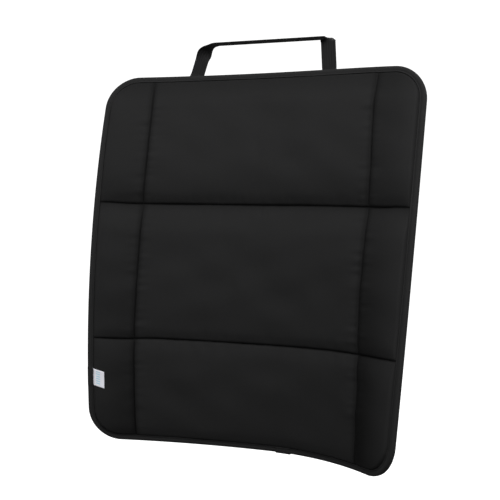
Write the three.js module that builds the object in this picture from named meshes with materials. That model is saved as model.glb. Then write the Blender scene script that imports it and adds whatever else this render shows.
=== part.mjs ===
// Car seat kick mat: a quilted fabric panel with a taped edge that hangs from a webbing loop.
// Millimetres, +Z up, front towards -Y, origin under the middle of the loop's top stretch.
// Every piece is laid out on the flat sheet (s to the right, t upwards, depth towards the
// front), and one function bends the sheet to the shape in which it hangs.
import * as THREE from 'three';

const { clamp, degToRad, smoothstep } = THREE.MathUtils;

// Outline of the finished mat, laid flat
const matWidth = 450;
const matHeight = 500;
const cornerRadius = 44;

// Layers, from the back to the front
const liningThickness = 0.8;
const pressedPadding = 1.8;
const coverThickness = 0.8;
const frontLoft = 6;
const backLoft = 1.5;
const seatGap = 0.3;

// Quilting seams: two upright ones beside the middle, two level ones above the bottom edge
const uprightSeam = 159;
const lowerSeam = 141;
const upperSeam = 322.5;
const uprightSink = 0.65;

// How a padded field rises from each of its edges: a tight roll beside the thread, then two
// slopes, the main one first. Each slope has its share of the loft, its reach, and whether it
// starts gently. The padding of a hanging mat sinks a little, so a field is slack at its head
// and full at its foot.
const rollReach = 2.6;
const topEdge = [
  { share: 0.5, reach: 38, gentle: true },
  { share: 0.3, reach: 85, gentle: false },
];
const headEdge = [
  { share: 0.55, reach: 38, gentle: true },
  { share: 0.3, reach: 85, gentle: false },
];
const lowerHeadEdge = [
  { share: 0.3, reach: 26, gentle: false },
  { share: 0.35, reach: 85, gentle: false },
];
const footEdge = [
  { share: 0.35, reach: 16, gentle: false },
  { share: 0.26, reach: 85, gentle: false },
];
const leftEdge = [
  { share: 0.3, reach: 34, gentle: false },
  { share: 0.15, reach: 12, gentle: false },
];
const rightEdge = [
  { share: 0.3, reach: 30, gentle: false },
  { share: 0.05, reach: 10, gentle: false },
];

// Edge tape, folded round the rim and lapped over its own start on the bottom edge
const tapeThickness = 0.8;
const tapeWidth = 9.5;
const tapeRounding = 0.9;
const foldNose = 0.15;
const foldFullness = 0.7;
const tapeStep = 1;
const lapLength = 22;
const lapEnd = 56;
const lapStep = 0.7;

// Webbing loop
const webWidth = 20;
const webThickness = 1.3;
const legSpacing = 190;
const loopOffset = -7.5;
const loopRise = 42;
const tailLength = 30;
const leftLean = degToRad(18);
const rightLean = degToRad(3.5);
const leftCornerRun = 14;
const leftCornerReach = 18;
const rightCornerRun = 3;
const leftTwistRun = 11;
const rightTwistRun = 8;
const topPitch = degToRad(0);

// Side label, a folded woven tab held by the tape on the left edge
const labelWidth = 17;
const labelHeight = 23;
const labelThickness = 0.5;
const labelTuck = 5;
const labelBottom = 70;
const labelRamp = 3;
const labelSag = 3.5;

// How the hanging sheet is bent
const leanBack = 33.3;
const bellyDepth = 16.3;
const sideWrap = 26.9;
const footTwist = 18.4;
const cornerCurl = 70.2;
const curlStart = 0.118;
const curlSidePower = 1.83;
const curlHeightPower = 1.62;

// Mesh steps
const widestStep = 52;
const narrowestStep = 2.4;
const ringSteps = [0, 2.6, 7, 15, 27];
const cornerSteps = 5;
const runSteps = 16;
const slopeReach = 0.5;

// Depths of the layers at the rim, where the stack is centred on the sheet
const stackHalf = (liningThickness + pressedPadding + coverThickness) / 2 + seatGap;
const tapeInside = stackHalf + seatGap;
const tapeOutside = tapeInside + tapeThickness;
const panelInset = tapeThickness + seatGap;
const puffStart = tapeWidth + seatGap;

// How far the sheet stands behind its flat plane
function bow(s, t) {
  const across = s / (matWidth / 2);
  const up = t / matHeight;
  const down = Math.max(0, 1 - up);
  const curl = Math.max(0, (across - curlStart) / (1 - curlStart));
  return leanBack * up ** 2 - 4 * bellyDepth * up * (1 - up) - sideWrap * across ** 2
    + footTwist * across * down
    - cornerCurl * curl ** curlSidePower * down ** curlHeightPower;
}

// Straight run that a length of bent cloth covers
function straightRun(length, slopeAt) {
  let run = 0;
  for (let step = 0; step < runSteps; step += 1) {
    run += 1 / Math.hypot(1, slopeAt(length * (step + 0.5) / runSteps));
  }
  return run * length / runSteps;
}

function slopeAcross(s, t) {
  return (bow(s + slopeReach, t) - bow(s - slopeReach, t)) / (2 * slopeReach);
}

function slopeUp(s, t) {
  return (bow(s, t + slopeReach) - bow(s, t - slopeReach)) / (2 * slopeReach);
}

function sheetPoint(s, t) {
  const x = straightRun(s, at => slopeAcross(at, t));
  const z = straightRun(t, at => slopeUp(s, at));
  return new THREE.Vector3(x, bow(s, t), z);
}

// Direction that the front of the bent sheet faces
function frontNormal(s, t) {
  const right = sheetPoint(s + slopeReach, t).sub(sheetPoint(s - slopeReach, t));
  const upward = sheetPoint(s, t + slopeReach).sub(sheetPoint(s, t - slopeReach));
  return right.cross(upward).normalize();
}

function bend(s, t, depth) {
  return sheetPoint(s, t).addScaledVector(frontNormal(s, t), depth);
}

// Distance from a place on the sheet out to the finished outline
function rimDistance(s, t) {
  const overS = Math.abs(s) - (matWidth / 2 - cornerRadius);
  const overT = Math.abs(t - matHeight / 2) - (matHeight / 2 - cornerRadius);
  const outside = Math.hypot(Math.max(overS, 0), Math.max(overT, 0));
  return cornerRadius - outside - Math.min(Math.max(overS, overT), 0);
}

// Tight roll of a field beside its thread: 0 on the thread, 1 on top of the roll
function roll(distance) {
  const share = clamp(distance / rollReach, 0, 1);
  return Math.sqrt(1 - (1 - share) ** 2);
}

// What the slopes beside one edge leave of a field's height: 1 where it is full
function slopes(distance, edge) {
  let height = 1;
  for (const { share, reach, gentle } of edge) {
    const inwards = clamp(distance / reach, 0, 1);
    height -= share * (gentle ? 1 - smoothstep(inwards, 0, 1) : (1 - inwards) ** 2);
  }
  return height;
}

function besideSeam(offset, before, after) {
  const distance = Math.abs(offset);
  return roll(distance) * slopes(distance, offset < 0 ? before : after);
}

// Share of the loft that the padding has at a place on the sheet
function puff(s, t) {
  const uprights = [-uprightSeam, uprightSeam].map(
    seam => 1 - uprightSink * (1 - besideSeam(s - seam, rightEdge, leftEdge)));
  return roll(rimDistance(s, t) - puffStart) * uprights[0] * uprights[1]
    * slopes(matWidth / 2 + s - puffStart, leftEdge)
    * slopes(matWidth / 2 - s - puffStart, rightEdge)
    * slopes(matHeight - t - puffStart, topEdge)
    * slopes(t - puffStart, footEdge)
    * besideSeam(t - lowerSeam, lowerHeadEdge, footEdge)
    * besideSeam(t - upperSeam, headEdge, footEdge);
}

const liningBack = (s, t) => -stackHalf - backLoft * puff(s, t);
const liningFront = (s, t) => liningBack(s, t) + liningThickness;
const paddingBack = (s, t) => liningFront(s, t) + seatGap;
const paddingFront = (s, t) => seatGap - stackHalf + liningThickness + pressedPadding
  + frontLoft * puff(s, t);
const coverBack = (s, t) => paddingFront(s, t) + seatGap;
const coverFront = (s, t) => coverBack(s, t) + coverThickness;

// Mesh lines that one seam needs, with the edges of the fields before and after it
function seamLines(seam, before, after) {
  const steps = ([{ reach }]) => [rollReach, reach / 3, reach];
  return [...steps(before).map(step => seam - step), seam, ...steps(after).map(step => seam + step)];
}

// Places between two ends, at the marks and never further apart than one step
function gridLines(from, to, wanted) {
  const marks = [...wanted, to].filter(at => at > from && at <= to);
  const lines = [from];
  for (const mark of marks.sort((a, b) => a - b)) {
    const last = lines[lines.length - 1];
    const gap = mark - last;
    if (gap < narrowestStep) {
      if (mark === to && lines.length > 1) lines[lines.length - 1] = to;
      continue;
    }
    const pieces = Math.ceil(gap / widestStep);
    for (let piece = 1; piece <= pieces; piece += 1) lines.push(last + gap * piece / pieces);
  }
  return lines;
}

const coreRight = matWidth / 2 - cornerRadius;
const coreTop = matHeight - cornerRadius;
const legPlaces = [loopOffset - legSpacing / 2, loopOffset + legSpacing / 2];
const columns = gridLines(-coreRight, coreRight, [...legPlaces,
  ...seamLines(-uprightSeam, rightEdge, leftEdge), ...seamLines(uprightSeam, rightEdge, leftEdge)]);
const rows = gridLines(cornerRadius, coreTop, [labelBottom, labelBottom + labelHeight,
  ...seamLines(lowerSeam, lowerHeadEdge, footEdge), ...seamLines(upperSeam, headEdge, footEdge)]);
const rings = [panelInset, ...ringSteps.map(step => puffStart + step)]
  .filter(distance => distance < cornerRadius - narrowestStep);

// Stations round the rim: the place on the core of the sheet that each one belongs to, and
// the direction outwards from there
function rimStations() {
  const lastColumn = columns.length - 1;
  const lastRow = rows.length - 1;
  const sides = [
    columns.map((_, column) => ({ column, row: 0 })),
    rows.map((_, row) => ({ column: lastColumn, row })),
    columns.map((_, column) => ({ column: lastColumn - column, row: lastRow })),
    rows.map((_, row) => ({ column: 0, row: lastRow - row })),
  ];
  return sides.flatMap((side, number) => {
    const facing = (number - 1) * Math.PI / 2;
    const outwards = angle => ({ outS: Math.cos(angle), outT: Math.sin(angle) });
    const straight = side.map(place => ({ ...place, ...outwards(facing) }));
    const round = [];
    for (let step = 1; step < cornerSteps; step += 1) {
      const angle = facing + step / cornerSteps * Math.PI / 2;
      round.push({ ...side[side.length - 1], ...outwards(angle) });
    }
    return [...straight, ...round];
  });
}

const stations = rimStations();

function stationPlace(station, distance) {
  const reach = cornerRadius - distance;
  return [columns[station.column] + station.outS * reach, rows[station.row] + station.outT * reach];
}

function meshFrom(points, faces) {
  const geometry = new THREE.BufferGeometry();
  const coordinates = points.flatMap(point => point.toArray());
  geometry.setAttribute('position', new THREE.Float32BufferAttribute(coordinates, 3));
  geometry.setIndex(faces.flat());
  geometry.computeVertexNormals();
  return geometry;
}

function quad(a, b, c, d) {
  return [[a, b, c], [a, c, d]];
}

// Closed sheet over the whole panel between two depths
function panelSheet(backDepth, frontDepth) {
  const points = [];
  const faces = [];
  const pointId = (s, t, depth) => points.push(bend(s, t, depth(s, t))) - 1;

  function face(depth, turned) {
    const add = (...corners) => faces.push(turned ? corners.reverse() : corners);
    const core = rows.map(t => columns.map(s => pointId(s, t, depth)));
    const around = rings.map(distance => stations.map(
      station => pointId(...stationPlace(station, distance), depth)));
    around.push(stations.map(({ column, row }) => core[row][column]));
    for (let row = 1; row < rows.length; row += 1) {
      for (let column = 1; column < columns.length; column += 1) {
        quad(core[row - 1][column - 1], core[row - 1][column], core[row][column],
          core[row][column - 1]).forEach(corners => add(...corners));
      }
    }
    for (let ring = 1; ring < around.length; ring += 1) {
      stations.forEach((_, here) => {
        const next = (here + 1) % stations.length;
        const [outer, inner] = [around[ring - 1], around[ring]];
        add(outer[here], outer[next], inner[here]);
        if (inner[here] !== inner[next]) add(inner[here], outer[next], inner[next]);
      });
    }
    return around[0];
  }

  const frontEdge = face(frontDepth, false);
  const backEdge = face(backDepth, true);
  stations.forEach((_, here) => {
    const next = (here + 1) % stations.length;
    faces.push(...quad(backEdge[here], backEdge[next], frontEdge[next], frontEdge[here]));
  });
  return meshFrom(points, faces);
}

// Body through a row of equal outlines, closed on itself or with its two ends covered
function loft(outlines, closed) {
  const sides = outlines[0].length;
  const points = outlines.flat();
  const faces = [];
  const spans = closed ? outlines.length : outlines.length - 1;
  for (let span = 0; span < spans; span += 1) {
    const here = span * sides;
    const there = (span + 1) % outlines.length * sides;
    for (let side = 0; side < sides; side += 1) {
      const next = (side + 1) % sides;
      faces.push(...quad(here + side, here + next, there + next, there + side));
    }
  }
  if (!closed) {
    const last = points.length - sides;
    for (let side = 2; side < sides; side += 1) {
      faces.push([0, side, side - 1], [last, last + side - 1, last + side]);
    }
  }
  return meshFrom(points, faces);
}

// Point on the rim at a place that may lie between two stations
function rimPoint(place, distance, depth) {
  const before = Math.floor(place) % stations.length;
  const after = (before + 1) % stations.length;
  const start = bend(...stationPlace(stations[before], distance), depth);
  const end = bend(...stationPlace(stations[after], distance), depth);
  return start.lerp(end, place - Math.floor(place));
}

// Place of a value among a side's lines, counted in lines
function placeAmong(lines, value) {
  const after = lines.findIndex(line => line > value);
  return after - 1 + (value - lines[after - 1]) / (lines[after] - lines[after - 1]);
}

// Rim places at which the bottom and the left side pass a given s or t
const leftFootStation = 2 * columns.length + 2 * rows.length + 3 * (cornerSteps - 1) - 1;
const bottomPlace = s => placeAmong(columns, s);
const leftPlace = t => leftFootStation - placeAmong(rows, t);

// Cross-section of the tape; a lap adds a second layer, a lift raises the front flap
function tapeSection({ place, lap, lift }) {
  const extra = lap * tapeThickness;
  const front = tapeOutside + extra + lift;
  const back = tapeOutside + extra;
  const rounded = tapeRounding - extra;
  const nose = foldNose - extra;
  return [
    [tapeWidth, tapeInside + lift], [tapeWidth, front], [rounded, front],
    [nose, foldFullness * front], [-extra, 0], [nose, -foldFullness * back],
    [rounded, -back], [tapeWidth, -back], [tapeWidth, -tapeInside],
    [tapeThickness, -tapeInside], [tapeThickness, tapeInside + lift],
  ].map(([distance, depth]) => rimPoint(place, distance, depth));
}

function edgeTape() {
  const plain = stations.map((_, place) => ({ place, lap: 0, lift: 0 }));
  const labelTop = labelBottom + labelHeight;
  const lift = labelThickness + seatGap;
  const added = [
    { place: bottomPlace(lapEnd - lapLength), lap: 0, lift: 0 },
    { place: bottomPlace(lapEnd - lapLength + lapStep), lap: 1, lift: 0 },
    { place: bottomPlace(lapEnd - lapStep), lap: 1, lift: 0 },
    { place: bottomPlace(lapEnd), lap: 0, lift: 0 },
    { place: leftPlace(labelTop + labelRamp), lap: 0, lift: 0 },
    { place: leftPlace(labelTop + seatGap), lap: 0, lift },
    { place: leftPlace(labelBottom - seatGap), lap: 0, lift },
    { place: leftPlace(labelBottom - labelRamp), lap: 0, lift: 0 },
  ];
  const lapped = ({ place }) => place > added[1].place && place < added[2].place;
  const lifted = ({ place }) => place > added[5].place && place < added[6].place;
  const sections = [...plain, ...added].sort((a, b) => a.place - b.place);
  sections.filter(lapped).forEach(section => { section.lap = 1; });
  sections.filter(lifted).forEach(section => { section.lift = lift; });
  return loft(sections.map(tapeSection), true);
}

// Where a leg's middle line passes a distance below the top edge
function legPlace(side, lean, distance) {
  return [loopOffset + side * (legSpacing / 2 + Math.tan(lean) * distance), matHeight - distance];
}

// Distance from the tape's edges at which the whole width of a leaning leg is clear of it
function clearOfTape(lean) {
  return webWidth / 2 * Math.sin(lean) + tapeStep;
}

// Middle of the webbing behind the mat, at a distance below the top edge
function tailPoint(side, lean, distance) {
  const place = legPlace(side, lean, distance);
  const behindTape = distance <= tapeWidth + clearOfTape(lean);
  const under = behindTape ? tapeOutside : -liningBack(...place);
  return bend(...place, -under - seatGap - webThickness / 2);
}

// The sewn end of a leg behind the mat, in line with the leg, listed from the end upwards.
// Each frame has the middle of the webbing, its direction and the direction across it.
function tailFrames(side, lean) {
  const onTape = tapeWidth + clearOfTape(lean);
  const offTape = onTape + webThickness * 2;
  const distances = [tailLength, (tailLength + offTape) / 2, offTape, onTape,
    -clearOfTape(lean)];
  return distances.map(distance => {
    const point = tailPoint(side, lean, distance);
    const along = tailPoint(side, lean, distance - slopeReach)
      .sub(tailPoint(side, lean, distance + slopeReach)).normalize();
    const across = along.clone().cross(frontNormal(...legPlace(side, lean, distance))).normalize();
    return { point, along, across };
  });
}

// Feet of the two legs, and the middle of the loop's level top stretch
const leftFoot = tailPoint(-1, leftLean, -clearOfTape(leftLean));
const rightFoot = tailPoint(1, rightLean, -clearOfTape(rightLean));
const loopMiddle = new THREE.Vector3(
  0, (leftFoot.y + rightFoot.y) / 2, sheetPoint(0, matHeight).z + loopRise);

function loopFrames() {
  const [left, right] = [leftFoot, rightFoot];
  const { y: middleY, z: topZ } = loopMiddle;
  const leftCorner = new THREE.Vector3(
    left.x + Math.tan(leftLean) * (topZ - left.z), middleY, topZ);
  const rightCorner = new THREE.Vector3(
    right.x - Math.tan(rightLean) * (topZ - right.z), middleY, topZ);
  const towards = (from, to, run) => from.clone().addScaledVector(
    to.clone().sub(from).normalize(), run);
  const leftBend = [towards(leftCorner, left, leftCornerRun), leftCorner,
    towards(leftCorner, rightCorner, leftCornerReach)];
  const rightBend = [towards(rightCorner, leftCorner, rightCornerRun), rightCorner,
    towards(rightCorner, right, rightCornerRun)];
  const leftTwist = towards(leftCorner, left, leftCornerRun + leftTwistRun);
  const rightTwist = towards(rightCorner, right, rightCornerRun + rightTwistRun);
  const stretches = {
    leftLeg: [new THREE.LineCurve3(left, leftTwist), 2],
    leftTurn: [new THREE.LineCurve3(leftTwist, leftBend[0]), 3],
    leftCorner: [new THREE.QuadraticBezierCurve3(...leftBend), 8],
    top: [new THREE.LineCurve3(leftBend[2], rightBend[0]), 1],
    rightCorner: [new THREE.QuadraticBezierCurve3(...rightBend), 5],
    rightTurn: [new THREE.LineCurve3(rightBend[2], rightTwist), 5],
    rightLeg: [new THREE.LineCurve3(rightTwist, right), 3],
  };
  const frames = [];
  const starts = {};
  let length = 0;
  for (const [stretch, [curve, steps]] of Object.entries(stretches)) {
    for (let step = 0; step < steps; step += 1) {
      const point = curve.getPoint(step / steps);
      if (frames.length > 0) length += point.distanceTo(frames[frames.length - 1].point);
      if (step === 0) starts[stretch] = length;
      frames.push({ point, along: curve.getTangent(step / steps), length });
    }
  }
  const outOfLoop = new THREE.Vector3(0, 1, 0);
  const topAngle = Math.PI / 2 + topPitch;
  return frames.slice(1).map(({ point, along, length: at }) => {
    const angle = topAngle * smoothstep(at, starts.leftTurn, (starts.leftCorner + starts.top) / 2)
      + (Math.PI - topAngle) * smoothstep(at, starts.rightCorner, starts.rightLeg);
    const inwards = outOfLoop.clone().cross(along).normalize();
    const across = inwards.multiplyScalar(Math.cos(angle))
      .addScaledVector(outOfLoop, Math.sin(angle));
    return { point, along, across: across.normalize() };
  });
}

function webSection({ point, along, across }) {
  const through = along.clone().cross(across).normalize();
  return [[-1, -1], [1, -1], [1, 1], [-1, 1]].map(([wide, thick]) => point.clone()
    .addScaledVector(across, wide * webWidth / 2)
    .addScaledVector(through, thick * webThickness / 2));
}

function webbingFrames() {
  const leftTail = tailFrames(-1, leftLean);
  const rightTail = tailFrames(1, rightLean).reverse();
  for (const frame of rightTail) frame.along.negate();
  return [...leftTail, ...loopFrames(), ...rightTail];
}

// Label: level under the tape, then over the cover, where it sags
function sideLabel() {
  const free = rings.filter(distance => distance >= puffStart && distance < tapeWidth + labelWidth);
  const distances = [tapeWidth - labelTuck, ...free, tapeWidth + labelWidth];
  const sections = distances.map(distance => {
    const s = distance - matWidth / 2;
    const sag = labelSag * Math.max(0, distance - tapeWidth) / labelWidth;
    const heights = [0, labelHeight / 2, labelHeight].map(height => labelBottom + height - sag);
    const side = lift => heights.map(t => bend(s, t, coverFront(s, t) + seatGap + lift));
    return [...side(0), ...side(labelThickness).reverse()];
  });
  return loft(sections, false);
}

// Looks of the pieces
const looks = {
  cover: { color: 0x252526, roughness: 0.82, metalness: 0 },
  padding: { color: 0xcfcfca, roughness: 0.95, metalness: 0 },
  lining: { color: 0x1f1f20, roughness: 0.88, metalness: 0 },
  tape: { color: 0x1b1b1c, roughness: 0.8, metalness: 0 },
  webbing: { color: 0x232324, roughness: 0.78, metalness: 0 },
  label: { color: 0xeef3f5, roughness: 0.7, metalness: 0 },
};

const webbing = webbingFrames();
const hangingPoint = loopMiddle.clone().addScaledVector(
  new THREE.Vector3(0, -Math.sin(topPitch), Math.cos(topPitch)), -webThickness / 2);

const pieces = [
  ['front_cover', panelSheet(coverBack, coverFront), looks.cover],
  ['foam_padding', panelSheet(paddingBack, paddingFront), looks.padding],
  ['back_lining', panelSheet(liningBack, liningFront), looks.lining],
  ['edge_binding', edgeTape(), looks.tape],
  ['headrest_loop', loft(webbing.map(webSection), false), looks.webbing],
  ['side_label', sideLabel(), looks.label],
];

const mat = new THREE.Group();
mat.position.copy(hangingPoint).negate();
for (const [name, geometry, look] of pieces) {
  const mesh = new THREE.Mesh(geometry, new THREE.MeshStandardMaterial(look));
  mesh.name = name;
  mat.add(mesh);
}

const kickMat = new THREE.Group();
kickMat.add(mat);

export default kickMat;
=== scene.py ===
import math

import bpy
import numpy as np
from mathutils import Matrix, Vector


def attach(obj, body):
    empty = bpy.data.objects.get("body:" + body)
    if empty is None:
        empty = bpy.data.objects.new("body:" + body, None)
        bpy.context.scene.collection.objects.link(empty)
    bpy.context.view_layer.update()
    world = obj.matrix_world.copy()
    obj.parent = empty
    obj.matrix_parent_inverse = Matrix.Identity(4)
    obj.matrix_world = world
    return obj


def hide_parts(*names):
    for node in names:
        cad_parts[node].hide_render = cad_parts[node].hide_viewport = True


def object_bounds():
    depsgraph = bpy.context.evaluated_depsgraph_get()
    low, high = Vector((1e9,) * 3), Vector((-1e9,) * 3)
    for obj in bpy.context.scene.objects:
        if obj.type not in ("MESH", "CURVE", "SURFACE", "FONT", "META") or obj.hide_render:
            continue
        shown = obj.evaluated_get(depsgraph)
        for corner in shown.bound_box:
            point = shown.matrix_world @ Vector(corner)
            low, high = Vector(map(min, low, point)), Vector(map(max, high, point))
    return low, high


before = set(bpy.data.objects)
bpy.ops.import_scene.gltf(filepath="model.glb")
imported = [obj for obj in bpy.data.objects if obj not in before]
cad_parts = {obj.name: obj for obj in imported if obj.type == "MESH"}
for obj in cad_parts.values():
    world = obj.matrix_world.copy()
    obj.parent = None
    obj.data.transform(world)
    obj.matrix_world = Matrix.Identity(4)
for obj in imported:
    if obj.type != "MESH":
        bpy.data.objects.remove(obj)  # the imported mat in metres: front towards -Y, origin under the hanging loop
cadLow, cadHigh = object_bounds()
scene = bpy.context.scene
print("frame loaded:", ", ".join(sorted(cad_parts)))

# The finished mat laid flat: s to the right, t upwards from the bottom edge, depth to the front
matShape = {
    "width": 0.450, "height": 0.500, "cornerRadius": 0.044,
    "uprightSeam": 0.159, "lowerSeam": 0.141, "upperSeam": 0.3225,
}
layers = {
    "lining": 0.0008, "pressedPadding": 0.0018, "cover": 0.0008, "seatGap": 0.0003,
    "frontLoft": 0.007, "backLoft": 0.0015, "seamFlat": 0.0005, "uprightSink": 0.65,
}
# How a padded field rises from each of its edges: reach of the tight roll beside the thread,
# then the slopes beyond it, each with its share of the loft, its reach and how gently it
# starts (0 steep at once, 2 level). The padding of a hanging mat sinks a little, so a field
# is slack at its head and full at its foot.
fieldEdges = {
    "top": (0.0020, (0.50, 0.038, 2), (0.30, 0.085, 0)),
    "head": (0.0020, (0.60, 0.040, 2), (0.28, 0.085, 0)),
    "lowerHead": (0.0025, (0.30, 0.026, 0), (0.35, 0.085, 0)),
    "foot": (0.0026, (0.30, 0.016, 0), (0.36, 0.085, 0)),
    "left": (0.0010, (0.30, 0.034, 0), (0.15, 0.012, 0)),
    "right": (0.0010, (0.30, 0.030, 0), (0.05, 0.010, 0)),
}
tape = {
    "thickness": 0.0008, "width": 0.0082, "clearance": 0.001, "pitch": 0.0028,
    "lapLength": 0.022, "lapEnd": 0.056, "lapStep": 0.0012, "groove": 0.0060,
    "wander": 0.0003,
}
webbing = {
    "width": 0.020, "thickness": 0.0013, "spacing": 0.190, "offset": -0.0075, "rise": 0.042,
    "tail": 0.030, "leftLean": math.radians(18), "rightLean": math.radians(3.5),
    "leftCornerRun": 0.022, "leftCornerReach": 0.017, "rightCornerRun": 0.002,
    "leftTwistRun": 0.001, "rightTwistRun": 0.0035, "twistEnd": 0.75,
}
label = {
    "width": 0.017, "height": 0.023, "thickness": 0.0005, "tuck": 0.005, "bottom": 0.0762,
    "ramp": 0.003, "sag": 0.0035, "curl": 0.0006, "fold": 0.0006, "columns": 26, "rows": 24,
}
hanging = {  # how the sheet bends as it hangs
    "leanBack": 0.0333, "bellyDepth": 0.0163, "sideWrap": 0.0269, "footTwist": 0.0184,
    "cornerCurl": 0.0702, "curlStart": 0.118, "curlSidePower": 1.83, "curlHeightPower": 1.62,
    "runSteps": 16, "slopeReach": 0.0005,
}

matWidth, matHeight, cornerRadius, uprightSeam, lowerSeam, upperSeam = matShape.values()
halfWidth, uprightSeams = matWidth / 2, (-uprightSeam, uprightSeam)
seatGap = layers["seatGap"]
stackHalf = (layers["lining"] + layers["pressedPadding"] + layers["cover"]) / 2 + seatGap
tapeInside = stackHalf + seatGap
tapeOutside = tapeInside + tape["thickness"]
panelInset = tape["thickness"] + seatGap
puffStart = tape["width"] + seatGap
coreRight = halfWidth - cornerRadius
coreTop = matHeight - cornerRadius


def bow(s, t):  # how far the hanging sheet stands behind its flat plane
    across = s / halfWidth
    up = t / matHeight
    down = np.maximum(0, 1 - up)
    curl = np.maximum(0, (across - hanging["curlStart"]) / (1 - hanging["curlStart"]))
    curled = curl ** hanging["curlSidePower"] * down ** hanging["curlHeightPower"]
    return (hanging["leanBack"] * up ** 2 - 4 * hanging["bellyDepth"] * up * (1 - up)
            - hanging["sideWrap"] * across ** 2 + hanging["footTwist"] * across * down
            - hanging["cornerCurl"] * curled)


def straightRun(length, slopeAt):  # straight distance that a length of bent cloth covers
    shares = (np.arange(hanging["runSteps"]) + 0.5) / hanging["runSteps"]
    return sum(1 / np.hypot(1, slopeAt(length * share)) for share in shares) * length / len(shares)


def sheetPoint(s, t):
    reach = hanging["slopeReach"]
    x = straightRun(s, lambda at: (bow(at + reach, t) - bow(at - reach, t)) / (2 * reach))
    z = straightRun(t, lambda at: (bow(s, at + reach) - bow(s, at - reach)) / (2 * reach))
    return np.stack([x, bow(s, t), z], axis=-1)


def frontNormal(s, t):
    reach = hanging["slopeReach"]
    right = sheetPoint(s + reach, t) - sheetPoint(s - reach, t)
    upward = sheetPoint(s, t + reach) - sheetPoint(s, t - reach)
    normal = np.cross(right, upward)
    return normal / np.linalg.norm(normal, axis=-1, keepdims=True)


def smoothStep(value, low, high):
    share = np.clip((value - low) / (high - low), 0, 1)
    return share * share * (3 - 2 * share)


# How the sewn seams stray from their straight places, in millimetres: (place along the seam,
# how far to the right or upwards). The cloth beside a seam goes with it, up to a limit.
strayedSeams = {
    "left": ((0, 0), (150, 0), (165, 0.4), (191, 1.8), (224, 2.4), (258, 3.4), (292, 3.9),
             (355, 4.3), (384, 5.0), (413, 4.5), (442, 4.2), (471, 2.6), (495, 0.6)),
    "right": ((0, 2.6), (37, 3.9), (61, 3.7), (85, 4.1), (110, 3.0), (134, 0.4), (183, -0.3),
              (207, -0.6), (238, 0.1), (269, 1.3), (299, 1.5), (357, 2.2), (383, 1.9), (409, 0.8),
              (435, -0.7), (461, -0.5), (495, 0)),
    "upper": ((-205, 0), (-178, -1.6), (-140, -1.8), (-55, -1.6), (30, -1.3), (70, -0.9),
              (113, -1.3), (182, -1.5), (205, 0.3)),
    "lower": ((-200, -2.0), (-171, -1.8), (-136, 0.4), (-50, 0.4), (35, 0.8), (78, 1.5),
              (121, 1.8), (149, 1.6), (192, 0.8), (213, 1.2)),
}
strayLimits = {"left": (-0.197, 0.0), "right": (0.0, 0.197), "upper": (0.141, 0.452),
               "lower": (0.048, 0.3225), "ease": 0.007}


def strayed(s, t):
    def shift(name, at, along, seam):
        low, high = strayLimits[name]
        share = smoothStep(at, low, seam) * (1 - smoothStep(at, seam, high))
        knots = np.array(strayedSeams[name]) / 1000
        reach = strayLimits["ease"]
        return share * sum(np.interp(along + step * reach, knots[:, 0], knots[:, 1])
                           for step in (-1, 0, 1)) / 3

    right = shift("left", s, t, -uprightSeam) + shift("right", s, t, uprightSeam)
    return s + right, t + (shift("upper", t, s, upperSeam) + shift("lower", t, s, lowerSeam))


def unplaced(s, t, depth):  # before the hanging point is made the origin
    s, t, depth = np.broadcast_arrays(*(np.asarray(value, float) for value in (s, t, depth)))
    s, t = strayed(s, t)
    return sheetPoint(s, t) + frontNormal(s, t) * depth[..., None]


def rimDistance(s, t):
    overS = np.abs(s) - coreRight
    overT = np.abs(t - matHeight / 2) - (matHeight / 2 - cornerRadius)
    outside = np.hypot(np.maximum(overS, 0), np.maximum(overT, 0))
    return cornerRadius - outside - np.minimum(np.maximum(overS, overT), 0)


def roll(distance, edge):  # quarter round: 0 at the thread, 1 at the top of the roll
    share = np.clip(distance / fieldEdges[edge][0], 0, 1)
    return np.sqrt(1 - (1 - share) ** 2)


def slopes(distance, edge):  # 1 where the field is full, less on the slopes towards the edge
    height = 1
    for share, reach, gentle in fieldEdges[edge][1:]:
        inwards = np.clip(distance / reach, 0, 1)
        height = height - share * (1 - inwards) ** 2 * (1 + gentle * inwards)
    return height


def besideSeam(offset, before, after):  # offset to the right of the seam, or up from it
    distance = np.abs(offset) - layers["seamFlat"]
    return np.where(offset < 0, roll(distance, before) * slopes(distance, before),
                    roll(distance, after) * slopes(distance, after))


def puff(s, t):
    height = roll(rimDistance(s, t) - puffStart, "foot")
    for offset, edge in ((halfWidth + s, "left"), (halfWidth - s, "right"),
                         (matHeight - t, "top"), (t, "foot")):
        height = height * slopes(offset - puffStart, edge)
    for seam in uprightSeams:
        height = height * (1 - layers["uprightSink"] * (1 - besideSeam(s - seam, "right", "left")))
    height = height * besideSeam(t - lowerSeam, "lowerHead", "foot")
    return height * besideSeam(t - upperSeam, "head", "foot")


def liningBack(s, t):
    return -stackHalf - layers["backLoft"] * puff(s, t)


# Unevenness of the quilted front: broad lumps, and puckers that the thread draws in beside it
padLumps = {"waves": 40, "shortest": 0.042, "longest": 0.150, "height": 0.00060, "seed": 5}
seamPuckers = {"waves": 14, "shortest": 0.008, "longest": 0.034, "height": 0.00046,
               "reach": 0.013, "start": 0.002, "seed": 9}


def seededWaves(values, row, draws):  # lengths of the waves, then as many turns as are drawn
    random = np.random.default_rng(values["seed"] + row)
    lengths = random.uniform(values["shortest"], values["longest"], values["waves"])
    return zip(lengths, *random.uniform(0, 2 * math.pi, (draws, values["waves"])))


def uneven(along, values, row):  # sum of seeded waves, about 1 high
    total = sum(np.sin(2 * math.pi * along / length + phase)
                for length, phase in seededWaves(values, row, 1))
    return total / math.sqrt(values["waves"] / 2)


def lumps(s, t):
    total = sum(np.sin(2 * math.pi * (s * math.cos(turn) + t * math.sin(turn)) / length + phase)
                for length, turn, phase in seededWaves(padLumps, 0, 2))
    return padLumps["height"] * total / math.sqrt(padLumps["waves"] / 2)


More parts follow.
